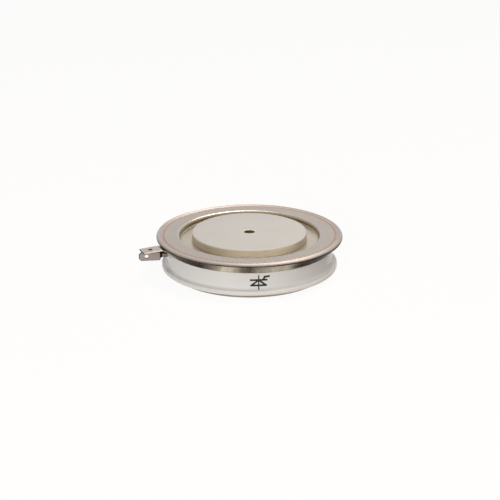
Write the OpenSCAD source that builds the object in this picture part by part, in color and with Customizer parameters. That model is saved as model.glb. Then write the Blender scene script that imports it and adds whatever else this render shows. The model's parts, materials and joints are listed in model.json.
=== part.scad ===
// Disc thyristor: a flat pressure-contact cell with a ceramic wall, two copper contact poles,
// a welded rim and two flat terminals. Millimetres, +Z up. The origin is on the cell's axis in the
// anode contact face. The gate terminal points along -X.

/* [Cell] */
// Height between the two contact faces
cell_h = 14; // [13.8:0.1:17]
// Diameter over the welded rim
rim_d = 60; // [58:0.5:66]
// How far the cathode face stands above the lid
cathode_proud = 0.7; // [0.6:0.05:1]
// How far the anode face stands below the anode flange
anode_proud = 0.9; // [0.4:0.05:1]

/* [Contact poles] */
// Diameter of both contact faces
pole_d = 37; // [35:0.5:39]
// Chamfer round both contact faces
pole_edge = 0.2; // [0.1:0.05:0.6]
// Width of the shoulder that carries a flange
shoulder_w = 0.5; // [0.4:0.05:0.8]
// Height of the shoulder that carries a flange
shoulder_h = 1; // [0.6:0.1:1.2]
// Thickness of the anode pole
anode_pole_h = 3.6; // [3.5:0.1:4.6]
// Diameter of the centre hole in both contact faces
centre_hole_d = 3.5; // [3:0.1:4.5]
// Depth of the centre hole
centre_hole_depth = 1.9; // [1.4:0.1:2.2]
// Chamfer at the mouth of the centre hole
centre_hole_edge = 0.3; // [0.1:0.05:0.5]

/* [Sheet flanges] */
// Thickness of the lid sheet
lid_sheet = 0.6; // [0.5:0.05:0.7]
// Thickness of the anode flange sheet
anode_sheet = 0.5; // [0.4:0.05:0.6]
// Width of the sunk channel round each pole
channel_w = 3.9; // [3.5:0.1:4.5]
// Depth of the sunk channel round each pole
channel_depth = 1.7; // [1.6:0.05:1.9]
// Inner radius of the bends in the pressed sheets
bend_r = 0.4; // [0.2:0.05:0.5]
// Radius of the rounded rim
bead_r = 0.75; // [0.7:0.05:0.85]
// Width of the fine groove inside the rim
groove_w = 0.4; // [0.2:0.05:0.6]
// Depth of the fine groove inside the rim
groove_depth = 0.16; // [0.05:0.01:0.2]
// Distance of the fine groove from the rim's outer edge
groove_inset = 2.35; // [2:0.05:2.8]

/* [Weld ring] */
// Height of the weld ring, from the ceramic to the rim's seam
weld_ring_h = 2.85; // [2.3:0.05:3]
// Thickness of the weld ring's sheet
ring_sheet = 0.65; // [0.6:0.05:0.7]
// How far the ring's lower bend stands out past the ceramic
ring_overhang = 0.65; // [0.5:0.05:0.9]
// How far the ring's skirt flares out from its lower bend to the lip
ring_flare = 0.75; // [0.5:0.05:0.8]
// Outer radius of the ring's lower bend
ring_bend_r = 0.5; // [0.3:0.05:0.55]
// Radius of the edge where the skirt meets the lip
lip_edge_r = 0.2; // [0.1:0.05:0.3]
// Clearance between the lid's step and the ring
ring_clearance = 0.6; // [0.4:0.05:0.8]

/* [Ceramic ring] */
// Depth of the waist, from the rim's outer edge to the ceramic
waist_depth = 3.2; // [3:0.05:3.4]
// Depth of the foot, from the rim's outer edge to the foot
foot_depth = 1.6; // [1.2:0.05:1.8]
// Height of the middle of the foot above the ceramic's lower face
foot_rise = 2.1; // [1.9:0.05:2.6]
// Thickness of the foot at its rounded edge
foot_t = 1.3; // [1.1:0.05:1.5]
// Radius of the foot's two edges
foot_edge_r = 0.55; // [0.3:0.05:0.55]
// Radius of the hollow between the waist and the foot
cove_r = 0.8; // [0.4:0.05:1.2]
// Width of the ceramic's lower face
base_w = 2.7; // [2.4:0.05:3]
// Chamfer on the ceramic's brazed edges
ceramic_edge = 0.25; // [0.1:0.05:0.35]

/* [Silicon stack] */
// How far the molybdenum disc stands out past the silicon
wafer_margin = 0.3; // [0.2:0.05:0.5]
// Thickness of the silicon
wafer_h = 0.5; // [0.4:0.05:0.6]
// Width of the bevel round the silicon
wafer_bevel = 0.8; // [0.5:0.05:0.9]
// Thickness of the molybdenum disc under the silicon
anode_disc_h = 1.6; // [1.5:0.1:2]
// Bare silicon between its bevel and the molybdenum disc on it
cathode_margin = 0.9; // [0.8:0.05:1.5]
// Thickness of the molybdenum disc on the silicon
cathode_disc_h = 0.8; // [0.7:0.05:1]
// Thickness of the rubber over the bevelled edge
coating_h = 0.5; // [0.4:0.05:0.6]
// Wall of the locating ring
locating_wall = 3.1; // [2.9:0.1:3.3]

/* [Gate contact] */
// Diameter of the contact pin
pin_d = 1.5; // [1.2:0.1:1.7]
// Diameter of the pin's collar
collar_d = 3.6; // [3.4:0.1:3.8]
// Height of the pin's collar
collar_h = 0.8; // [0.7:0.05:0.9]
// Height of the pin's spigot inside the spring
spigot_h = 0.6; // [0.3:0.05:0.8]
// Outer diameter of the insulating cup
bush_d = 6; // [5.8:0.1:6.6]
// Wall and roof of the insulating cup
bush_wall = 0.7; // [0.5:0.05:0.8]
// Height of the insulating cup
bush_h = 3.3; // [3.1:0.1:3.4]
// Thickness of the guide washer's flange
guide_flange_h = 0.4; // [0.3:0.05:0.5]
// Outer diameter of the guide washer's nose
guide_nose_d = 3.2; // [2.8:0.1:3.4]
// Wire diameter of the spring
spring_wire_d = 0.32; // [0.25:0.01:0.36]
// Mean diameter of the spring
spring_d = 2.7; // [2.5:0.05:2.9]
// Turns of the spring
spring_turns = 3.5; // [3:0.5:4]
// Closed turns at each end of the spring
spring_dead = 0.75; // [0.5:0.05:0.9]

/* [Terminals] */
// Diameter of the gate lead
lead_d = 0.7; // [0.5:0.05:0.8]
// Wall of the lead's insulating sleeve
sleeve_wall = 0.25; // [0.2:0.01:0.3]
// Outer diameter of the gate tube
tube_d = 1.8; // [1.6:0.05:2]
// Wall of the gate tube
tube_wall = 0.35; // [0.25:0.05:0.4]
// Length of round tube that stands out of the ceramic
tube_stub = 1.6; // [1.2:0.1:2]
// Length over which the tube runs flat
pinch_run = 0.6; // [0.5:0.05:1.2]
// Length of the flat pinched end
pinch_l = 2.8; // [2:0.1:3.4]
// Width of the gate tab
gate_tab_w = 2.8; // [2.4:0.1:3]
// Thickness of the gate tab
gate_tab_t = 0.8; // [0.5:0.1:0.9]
// Hole in the gate tab
gate_hole_d = 1.3; // [1:0.1:1.4]
// Distance of the gate tab's hole from its free end
gate_hole_back = 2.5; // [1.8:0.1:2.8]
// How far the gate tab reaches past the rim
gate_reach = 5.9; // [5.5:0.1:7]
// How far the gate tab sits below the middle of the tube
gate_tab_drop = 0.2; // [0:0.05:0.3]
// Width of the cathode tab
cathode_tab_w = 4.8; // [4:0.1:5.2]
// Thickness of the cathode tab
cathode_tab_t = 0.5; // [0.5:0.1:0.9]
// Hole in the cathode tab
cathode_hole_d = 1.4; // [1:0.1:1.8]
// Distance of the cathode tab's hole from its free end
cathode_hole_back = 2.9; // [2.4:0.1:3.6]
// How far the cathode tab reaches past the rim
cathode_reach = 6.6; // [6.5:0.1:8]
// Angle between the two tabs
tab_angle = 14.5; // [12:0.5:40]
// Height of the step where the cathode tab comes up from under the rim
tab_joggle = 0.5; // [0.3:0.05:0.7]
// How far the cathode tab slopes down
tab_droop = 3; // [0:0.5:5]
// Bevel round the faces of both tabs
tab_bevel = 0.15; // [0.05:0.05:0.2]
// Cut-off corners at the free end of the gate tab
tab_corner = 0.75; // [0.3:0.05:0.8]
// Cut-off corners at the free end of the cathode tab
cathode_corner = 0.15; // [0.1:0.05:0.8]

/* [Hidden] */
$fn = 96;

// Clearances: brazed joints, pieces laid loosely in place, and what cuts run past
braze_gap = 0.05;
loose_gap = 0.2;
over = 1;

// Radii from the axis outwards
rim_r = rim_d / 2;
pole_r = pole_d / 2;
shoulder_r = pole_r + shoulder_w;
channel_r = pole_r + channel_w;
bore_r = shoulder_r + loose_gap + locating_wall + loose_gap;
base_r = bore_r + base_w;
waist_r = rim_r - waist_depth;
foot_r = rim_r - foot_depth;
bead_mid_r = rim_r - bead_r;
skirt_r = waist_r + ring_overhang;
lip_r = skirt_r + ring_flare;
ring_inner_r = channel_r + lid_sheet + ring_clearance;
wafer_r = shoulder_r - wafer_margin;
cathode_disc_r = wafer_r - wafer_bevel - cathode_margin;
coating_r = shoulder_r - braze_gap;
pocket_r = bush_d / 2 + loose_gap / 2;

// Heights from the anode face upwards
anode_floor_z = anode_proud + channel_depth + anode_sheet;
ceramic_z0 = anode_proud + anode_sheet;
foot_z = ceramic_z0 + foot_rise;
wafer_z = anode_pole_h + anode_disc_h;
cathode_disc_z = wafer_z + wafer_h;
stack_top = cathode_disc_z + cathode_disc_h;
lid_top = cell_h - cathode_proud;
seam_z = lid_top - lid_sheet;
ceramic_z1 = seam_z - weld_ring_h;
lip_z = seam_z - bead_r;
lid_floor_z = lid_top - channel_depth;
lid_seat_z = lid_floor_z - lid_sheet;

// The gate line: the lead lies level with the middle of the pin's collar
bush_z = stack_top + guide_flange_h;
collar_z = bush_z + loose_gap / 2;
gate_z = collar_z + collar_h / 2;
bush_top = bush_z + bush_h;
spring_z0 = collar_z + collar_h;
spring_z1 = bush_top - bush_wall;
sleeve_d = lead_d + 2 * braze_gap + 2 * sleeve_wall;
lead_cut_w = sleeve_d + 2 * loose_gap;
pinch_r = waist_r + tube_stub;
tongue_r = pinch_r + pinch_run;
// Pinched flat, the tube is two walls thick, and as wide as its wall's length gives
pinch_t = 2 * tube_wall;
tongue_h = PI * (tube_d - tube_wall) / 2 + tube_wall;

copper_plate = [0.74, 0.71, 0.67];
nickel_sheet = [0.68, 0.64, 0.61];
alumina = [0.9, 0.9, 0.88];
molybdenum = [0.55, 0.56, 0.58];
silicon = [0.3, 0.32, 0.36];
silicone = [0.8, 0.35, 0.25];
insulator = [0.93, 0.91, 0.85];
spring_steel = [0.6, 0.6, 0.6];

// Direction from one point of an outline to another
function heading(from, to) = (to - from) / norm(to - from);

// Touching points and centre of a round corner of radius r at b, between a and c
function corner(a, b, c, r) =
    let (u = heading(b, a), v = heading(b, c), half = acos(u * v) / 2)
    [b + u * r / tan(half), b + heading([0, 0], u + v) * r / sin(half), b + v * r / tan(half)];

// Slice of a disc between the two touching points of a round corner
module corner_slice(arc, r) {
    u = heading(arc[1], arc[0]);
    v = heading(arc[1], arc[2]);
    intersection() {
        translate(arc[1]) circle(r);
        polygon([arc[1], arc[1] + 2 * r * u, arc[1] + 2 * r * (u + v), arc[1] + 2 * r * v]);
    }
}

// Counter-clockwise outline with a true arc of its own radius at each corner; 0 keeps a corner sharp
module rounded_outline(points, radii) {
    last = len(points) - 1;
    before = [for (i = [0:last]) points[i == 0 ? last : i - 1]];
    after = [for (i = [0:last]) points[i == last ? 0 : i + 1]];
    arcs = [for (i = [0:last])
        radii[i] > 0 ? corner(before[i], points[i], after[i], radii[i]) : [points[i]]];
    hollow = [for (i = [0:last]) cross(points[i] - before[i], after[i] - points[i]) < 0];
    difference() {
        union() {
            polygon([for (arc = arcs) each arc]);
            for (i = [0:last]) if (radii[i] > 0 && !hollow[i]) corner_slice(arcs[i], radii[i]);
        }
        for (i = [0:last]) if (radii[i] > 0 && hollow[i]) corner_slice(arcs[i], radii[i]);
    }
}

// Half of the rounded rim, above or below its seam
module rim_half(above) {
    size = 2 * bead_r;
    translate([bead_mid_r, seam_z]) intersection() {
        circle(bead_r);
        translate([-bead_r, above ? 0 : -size]) square(size);
    }
}

// Quarter bend of a sheet about a centre, in the quadrant given by two signs
module sheet_bend(centre, sheet, side) {
    reach = 2 * (bend_r + sheet);
    translate(centre) intersection() {
        difference() {
            circle(bend_r + sheet);
            circle(bend_r);
        }
        translate([side.x < 0 ? -reach : 0, side.y < 0 ? -reach : 0]) square(reach);
    }
}

// Section of a pressed flange, drawn with its outer flat's face at height 0: an inner flat at the
// bottom of the channel, a step of two round bends at a radius, and an outer flat
module pressed_section(sheet, step_r, outer_r) {
    floor_bend = [step_r - bend_r, bend_r - channel_depth];
    top_bend = [step_r + sheet + bend_r, -sheet - bend_r];
    inner_r = pole_r + braze_gap;
    translate([inner_r, -channel_depth - sheet]) square([floor_bend.x - inner_r, sheet]);
    sheet_bend(floor_bend, sheet, [1, -1]);
    translate([step_r, floor_bend.y]) square([sheet, top_bend.y - floor_bend.y]);
    sheet_bend(top_bend, sheet, [-1, 1]);
    translate([top_bend.x, -sheet]) square([outer_r - top_bend.x, sheet]);
}

// Section of a turned pole, drawn from its contact face at height 0 upwards: the face with its
// chamfer, and the shoulder that carries the flange
module pole_section(seat, shoulder) {
    polygon([[0, 0], [pole_r - pole_edge, 0], [pole_r, pole_edge], [pole_r, seat], [shoulder_r, seat],
        [shoulder_r, seat + shoulder], [0, seat + shoulder]]);
}

// Blind centre hole with a chamfered mouth, cut upwards from a contact face at height 0
module centre_hole() {
    translate([0, 0, -over]) cylinder(d = centre_hole_d, h = centre_hole_depth + over);
    mouth_d = centre_hole_d + 2 * (centre_hole_edge + over);
    translate([0, 0, -over])
        cylinder(d1 = mouth_d, d2 = centre_hole_d, h = centre_hole_edge + over);
}

// Turns a piece that was drawn outwards along +X onto the gate line, or onto a line beside it
module on_gate_line(angle = 0) {
    rotate([0, 0, 180 + angle]) children();
}

// Round bar, or with a bore a tube, along +X at the gate's height
module gate_bar(from, to, d) {
    translate([from, 0, gate_z]) rotate([0, 90, 0]) cylinder(d = d, h = to - from);
}

// Flat tab lying along +X from 0, its lower face at height 0: bevelled edges, a hole, and both
// corners of its free end cut off
module tab_blade(length, width, thick, corner, hole_d, hole_back) {
    half = width / 2;
    flat = half - tab_bevel;
    tip = length - corner;
    difference() {
        rotate([90, 0, 90]) linear_extrude(length)
            polygon([[-flat, 0], [flat, 0], [half, tab_bevel], [half, thick - tab_bevel],
                [flat, thick], [-flat, thick], [-half, thick - tab_bevel], [-half, tab_bevel]]);
        for (side = [-1, 1])
            translate([0, 0, -over]) linear_extrude(thick + 2 * over)
                polygon([[length + over, side * (half - corner - over)],
                    [length + over, side * (half + over)], [tip - over, side * (half + over)]]);
        translate([length - hole_back, 0, -over]) cylinder(d = hole_d, h = thick + 2 * over);
    }
}

module anode_pole() {
    color(copper_plate) difference() {
        rotate_extrude() pole_section(anode_floor_z, anode_pole_h - anode_floor_z);
        centre_hole();
    }
}

// The anode flange's outer flat starts at the ceramic's bore
module anode_flange() {
    step_r = bore_r - bend_r - anode_sheet;
    color(nickel_sheet) rotate_extrude()
        translate([0, anode_proud]) mirror([0, 1])
            pressed_section(anode_sheet, step_r, base_r - ceramic_edge);
}

module ceramic_ring() {
    nose = foot_t / 2;
    color(alumina) difference() {
        rotate_extrude() rounded_outline(
            [[bore_r, ceramic_z0], [base_r - ceramic_edge, ceramic_z0], [base_r, ceramic_z0 + ceramic_edge],
                [foot_r, foot_z - nose], [foot_r, foot_z + nose], [waist_r, foot_z + nose + ceramic_edge],
                [waist_r, ceramic_z1 - ceramic_edge], [waist_r - ceramic_edge, ceramic_z1],
                [bore_r, ceramic_z1]],
            [0, 0, 0, foot_edge_r, foot_edge_r, cove_r, 0, 0, 0]);
        on_gate_line() gate_bar(bore_r - over, foot_r, tube_d + 2 * braze_gap);
    }
}

module weld_ring() {
    color(nickel_sheet) rotate_extrude() {
        rounded_outline(
            [[ring_inner_r, ceramic_z1], [skirt_r, ceramic_z1], [lip_r, lip_z], [bead_mid_r, lip_z],
                [bead_mid_r, seam_z], [lip_r - ring_sheet, seam_z],
                [skirt_r - ring_sheet, ceramic_z1 + ring_sheet],
                [ring_inner_r, ceramic_z1 + ring_sheet]],
            [0, ring_bend_r, lip_edge_r, 0, 0, 0, 0, 0]);
        rim_half(false);
    }
}

module lid_flange() {
    groove_r = rim_r - groove_inset;
    color(nickel_sheet) rotate_extrude() difference() {
        union() {
            translate([0, lid_top]) pressed_section(lid_sheet, channel_r, bead_mid_r);
            rim_half(true);
        }
        translate([groove_r, lid_top])
            polygon([[-groove_w / 2, 0], [0, -groove_depth], [groove_w / 2, 0], [0, over]]);
    }
}

module cathode_pole() {
    pocket_h = bush_top + loose_gap / 2 - stack_top;
    color(copper_plate) difference() {
        union() {
            translate([0, 0, cell_h]) mirror([0, 0, 1])
                rotate_extrude() pole_section(cell_h - lid_seat_z, shoulder_h);
            translate([0, 0, stack_top]) cylinder(r = cathode_disc_r, h = lid_seat_z - stack_top);
        }
        translate([0, 0, cell_h]) mirror([0, 0, 1]) centre_hole();
        translate([0, 0, stack_top - over]) cylinder(r = pocket_r, h = pocket_h + over);
        on_gate_line() translate([0, -lead_cut_w / 2, stack_top - over])
            cube([shoulder_r + over, lead_cut_w, gate_z + lead_cut_w / 2 - stack_top + over]);
    }
}

module anode_disc() {
    color(molybdenum) translate([0, 0, anode_pole_h]) cylinder(r = shoulder_r, h = anode_disc_h);
}

module silicon_wafer() {
    color(silicon) translate([0, 0, wafer_z])
        cylinder(r1 = wafer_r, r2 = wafer_r - wafer_bevel, h = wafer_h);
}

module edge_coating() {
    inner_r = cathode_disc_r + loose_gap;
    top = cathode_disc_z + coating_h;
    color(silicone) rotate_extrude()
        polygon([[wafer_r, wafer_z], [coating_r, wafer_z], [coating_r, cathode_disc_z],
            [coating_r - coating_h, top], [inner_r, top], [inner_r, cathode_disc_z],
            [wafer_r - wafer_bevel, cathode_disc_z]]);
}

module cathode_disc() {
    color(molybdenum) translate([0, 0, cathode_disc_z]) difference() {
        cylinder(r = cathode_disc_r, h = cathode_disc_h);
        translate([0, 0, -over]) cylinder(d = guide_nose_d + loose_gap, h = cathode_disc_h + 2 * over);
    }
}

module locating_ring() {
    low_r = shoulder_r + loose_gap;
    high_r = bore_r - loose_gap;
    top = cathode_disc_z + coating_h;
    color(insulator) rotate_extrude()
        polygon([[low_r, anode_floor_z], [high_r, anode_floor_z], [high_r, top - coating_h],
            [high_r - coating_h, top], [low_r, top]]);
}

module gate_guide() {
    nose_z = cathode_disc_z + loose_gap;
    color(insulator) difference() {
        union() {
            translate([0, 0, nose_z]) cylinder(d = guide_nose_d, h = stack_top - nose_z);
            translate([0, 0, stack_top]) cylinder(d = bush_d, h = guide_flange_h);
        }
        translate([0, 0, nose_z - over]) cylinder(d = pin_d + loose_gap, h = bush_z - nose_z + 2 * over);
    }
}

module gate_bush() {
    lead_slot = lead_d + loose_gap;
    color(insulator) difference() {
        translate([0, 0, bush_z]) cylinder(d = bush_d, h = bush_h);
        translate([0, 0, bush_z - over]) cylinder(d = bush_d - 2 * bush_wall, h = bush_h - bush_wall + over);
        on_gate_line() translate([0, -lead_slot / 2, bush_z - over])
            cube([bush_d, lead_slot, gate_z + lead_slot / 2 - bush_z + over]);
    }
}

module gate_pin() {
    color(copper_plate) {
        translate([0, 0, cathode_disc_z]) cylinder(d = pin_d, h = spring_z0 + spigot_h - cathode_disc_z);
        translate([0, 0, collar_z]) cylinder(d = collar_d, h = collar_h);
    }
}

// Height of the spring's wire after a number of turns: close-wound ends and an open middle
function spring_height(turn) =
    let (dead = spring_dead, gap = braze_gap / 2, wire = spring_wire_d,
        low = spring_z0 + gap + wire / 2, high = spring_z1 - gap - wire / 2,
        pitch = (high - low - 2 * dead * wire) / (spring_turns - 2 * dead))
    turn < dead ? low + turn * wire
        : turn > spring_turns - dead ? high - (spring_turns - turn) * wire
        : low + dead * wire + (turn - dead) * pitch;

module gate_spring() {
    sides = 8;
    steps = 16;
    rings = spring_turns * steps;
    points = [for (i = [0:rings], k = [0:sides - 1])
        let (turn = i / steps, reach = (spring_d + spring_wire_d * cos(360 * k / sides)) / 2)
        [reach * cos(360 * turn), reach * sin(360 * turn),
            spring_height(turn) + spring_wire_d / 2 * sin(360 * k / sides)]];
    walls = [for (i = [0:rings - 1], k = [0:sides - 1])
        let (a = i * sides + k, b = i * sides + (k + 1) % sides)
        each [[a, b, b + sides], [a, b + sides, a + sides]]];
    ends = [[for (k = [0:sides - 1]) sides - 1 - k], [for (k = [0:sides - 1]) rings * sides + k]];
    color(spring_steel) polyhedron(points, concat(walls, ends));
}

module gate_lead() {
    color(copper_plate) on_gate_line() gate_bar(collar_d / 2 + braze_gap, pinch_r, lead_d);
}

module lead_sleeve() {
    start = pocket_r + loose_gap;
    color(insulator) on_gate_line() difference() {
        gate_bar(start, bore_r - loose_gap, sleeve_d);
        gate_bar(start - over, bore_r + over, lead_d + 2 * braze_gap);
    }
}

module gate_tube() {
    slice = 0.05;
    color(nickel_sheet) on_gate_line() {
        difference() {
            gate_bar(bore_r, pinch_r, tube_d);
            gate_bar(bore_r - over, pinch_r + over, tube_d - 2 * tube_wall);
        }
        hull() {
            gate_bar(pinch_r, pinch_r + slice, tube_d, $fn = 32);
            translate([tongue_r - slice, -pinch_t / 2, gate_z - tongue_h / 2])
                cube([slice, pinch_t, tongue_h]);
        }
        translate([tongue_r, -pinch_t / 2, gate_z - tongue_h / 2]) cube([pinch_l, pinch_t, tongue_h]);
    }
}

module gate_tab() {
    length = rim_r + gate_reach - tongue_r;
    color(nickel_sheet) on_gate_line() translate([tongue_r, pinch_t / 2, gate_z - gate_tab_drop])
        rotate([-90, 0, 0])
            tab_blade(length, gate_tab_w, gate_tab_t, tab_corner, gate_hole_d, gate_hole_back);
}

// Point of the cathode tab's level section, seen in the frame of its sloping blade
function in_blade(p) =
    [p.x * cos(tab_droop) - p.y * sin(tab_droop), p.x * sin(tab_droop) + p.y * cos(tab_droop)];

module cathode_tab() {
    blade_r = rim_r + loose_gap;
    lap = lip_r + 2 * loose_gap - blade_r;
    rise = bead_mid_r + bead_r / 2 - blade_r;
    length = rim_r + cathode_reach - blade_r;
    color(nickel_sheet) on_gate_line(tab_angle)
        translate([blade_r, 0, lip_z - cathode_tab_t + tab_joggle]) rotate([0, tab_droop, 0]) {
            translate([0, cathode_tab_w / 2, 0]) rotate([90, 0, 0]) linear_extrude(cathode_tab_w)
                polygon([[0, 0], [0, cathode_tab_t], in_blade([rise, cathode_tab_t - tab_joggle]),
                    in_blade([lap, cathode_tab_t - tab_joggle]), in_blade([lap, -tab_joggle]),
                    in_blade([rise, -tab_joggle])]);
            tab_blade(length, cathode_tab_w, cathode_tab_t, cathode_corner, cathode_hole_d,
                cathode_hole_back);
        }
}

anode_pole();
anode_flange();
ceramic_ring();
weld_ring();
lid_flange();
cathode_pole();
anode_disc();
silicon_wafer();
edge_coating();
cathode_disc();
locating_ring();
gate_guide();
gate_bush();
gate_pin();
gate_spring();
gate_lead();
lead_sleeve();
gate_tube();
gate_tab();
cathode_tab();
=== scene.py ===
"""Dress the disc thyristor: turned and pressed metal, glazed ceramic, terminals, print and a white studio.

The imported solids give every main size. Each visible solid is replaced by a smooth piece of the same form, and
the pieces sealed inside the cell keep their solids and get their real materials.
"""

from __future__ import annotations

import json
import logging
import math
from dataclasses import dataclass, field
from enum import Enum
from typing import Any, Callable, Sequence

import bmesh
import bpy
from bmesh.types import BMEdge, BMesh, BMVert
from bpy.types import ID, Material, MeshPolygon, Node, NodeSocket, NodeTree, Object
from mathutils import Matrix, Vector
from mathutils.bvhtree import BVHTree

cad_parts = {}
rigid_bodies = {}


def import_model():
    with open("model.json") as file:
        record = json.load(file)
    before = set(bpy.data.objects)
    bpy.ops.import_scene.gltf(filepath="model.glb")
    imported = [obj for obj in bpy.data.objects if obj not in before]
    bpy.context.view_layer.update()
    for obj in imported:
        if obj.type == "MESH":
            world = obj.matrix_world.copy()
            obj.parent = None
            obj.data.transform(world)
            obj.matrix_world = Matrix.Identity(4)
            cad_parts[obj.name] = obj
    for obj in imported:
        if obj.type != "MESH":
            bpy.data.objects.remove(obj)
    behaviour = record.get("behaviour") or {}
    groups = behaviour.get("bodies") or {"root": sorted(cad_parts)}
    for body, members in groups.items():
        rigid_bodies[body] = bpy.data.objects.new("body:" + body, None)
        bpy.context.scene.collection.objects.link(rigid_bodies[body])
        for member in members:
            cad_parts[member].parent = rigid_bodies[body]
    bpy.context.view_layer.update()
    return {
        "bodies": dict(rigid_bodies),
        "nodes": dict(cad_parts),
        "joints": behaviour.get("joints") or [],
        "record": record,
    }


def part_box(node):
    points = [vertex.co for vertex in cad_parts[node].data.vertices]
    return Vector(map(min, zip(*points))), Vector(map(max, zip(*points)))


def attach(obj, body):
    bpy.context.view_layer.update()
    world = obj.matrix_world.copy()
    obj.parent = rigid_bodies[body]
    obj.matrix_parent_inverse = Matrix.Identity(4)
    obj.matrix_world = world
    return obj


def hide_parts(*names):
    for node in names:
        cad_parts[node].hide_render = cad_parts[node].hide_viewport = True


LOG = logging.getLogger("disc_thyristor")
BODY = "root"
MM = 0.001

# Facets round the axis, facets of a small round bar, and how far apart two points count as one
TURN_STEPS = 240
BAR_STEPS = 40
WELD = 1e-7
# Edges sharper than this stay crisp
CRISP = math.radians(38)
# A face whose normal comes this close to a direction faces that way
FACING = 0.95
# Turns the Z axis of a bar or a circle to X
TO_X = Matrix.Rotation(math.pi / 2, 4, "Y")
# Length of the bars that cut the holes of the tabs, and how far other cutters run past a piece
HOLE_CUTTER_MM = 4.0
OVER_MM = 1.0
# The part of each noise that shows: what lies below or above it is even
CLOUD_RANGE = (0.4, 0.65)
GRAIN_RANGE = (0.3, 0.7)
MOTTLE_RANGE = (0.35, 0.7)


def linear(code: str) -> tuple[float, float, float, float]:
    """Turn an sRGB hex colour into linear light.

    Args:
        code: Colour as "#rrggbb".

    Returns:
        Red, green, blue and an alpha of 1.
    """
    shares = [int(code[i : i + 2], 16) / 255 for i in (1, 3, 5)]
    red, green, blue = (s / 12.92 if s <= 0.04045 else ((s + 0.055) / 1.055) ** 2.4 for s in shares)
    return red, green, blue, 1.0


def add_node(tree: NodeTree, kind: str, inputs: dict[str | int, Any] | None = None, **settings: Any) -> Node:
    """Add a shader node, set its properties, and set or link its inputs.

    Args:
        tree: Node tree that gets the node.
        kind: Node type without its ShaderNode prefix.
        inputs: Input name or number, with a constant, the output that feeds it, or the node whose first
            output does.
        settings: Properties of the node.

    Returns:
        The new node.
    """
    node = tree.nodes.new("ShaderNode" + kind)
    for key, value in settings.items():
        setattr(node, key, value)
    for key, value in (inputs or {}).items():
        source = value.outputs[0] if isinstance(value, Node) else value
        if isinstance(source, NodeSocket):
            tree.links.new(source, node.inputs[key])
        else:
            node.inputs[key].default_value = source
    return node


def new_material(name: str) -> tuple[Material, NodeTree]:
    """Make an empty node material.

    Args:
        name: Name of the real material.

    Returns:
        The material and its node tree.
    """
    material = bpy.data.materials.new(name)
    material.use_nodes = True
    material.node_tree.nodes.clear()
    return material, material.node_tree


def banded(
    tree: NodeTree, distance: NodeSocket, bands: Sequence[tuple[float, Sequence[float]]]
) -> NodeSocket:
    """Let colours follow each other along a distance.

    Args:
        tree: Node tree of the material.
        distance: The distance in metres.
        bands: Place in millimetres and linear colour of each stop, in order.

    Returns:
        The colour at that distance.
    """
    first, last = bands[0][0], bands[-1][0]
    share = add_node(tree, "MapRange", {"Value": distance, "From Min": first * MM, "From Max": last * MM})
    ramp = add_node(tree, "ValToRGB", {"Fac": share})
    stops = ramp.color_ramp.elements
    while len(stops) < len(bands):
        stops.new(1.0)
    for stop, (at, colour) in zip(stops, bands):
        stop.position = (at - first) / (last - first)
        stop.color = colour
    return ramp.outputs[0]


class Along(Enum):
    """The way in which the colour bands of a finish follow each other."""

    RADIUS = "outwards from the axis"
    HEIGHT = "upwards along the axis"


@dataclass(frozen=True)
class Finish:
    """A named surface that makes its own material once."""

    name: str

    def shader(self, tree: NodeTree) -> Node:
        """Build the nodes and return the surface's node, in each kind of finish its own way."""
        raise NotImplementedError

    def material(self) -> Material:
        """Give the finish's material, made on first use.

        Returns:
            The material.
        """
        known = bpy.data.materials.get(self.name)
        if known:
            return known
        material, tree = new_material(self.name)
        add_node(tree, "OutputMaterial", {"Surface": self.shader(tree)})
        return material


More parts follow.
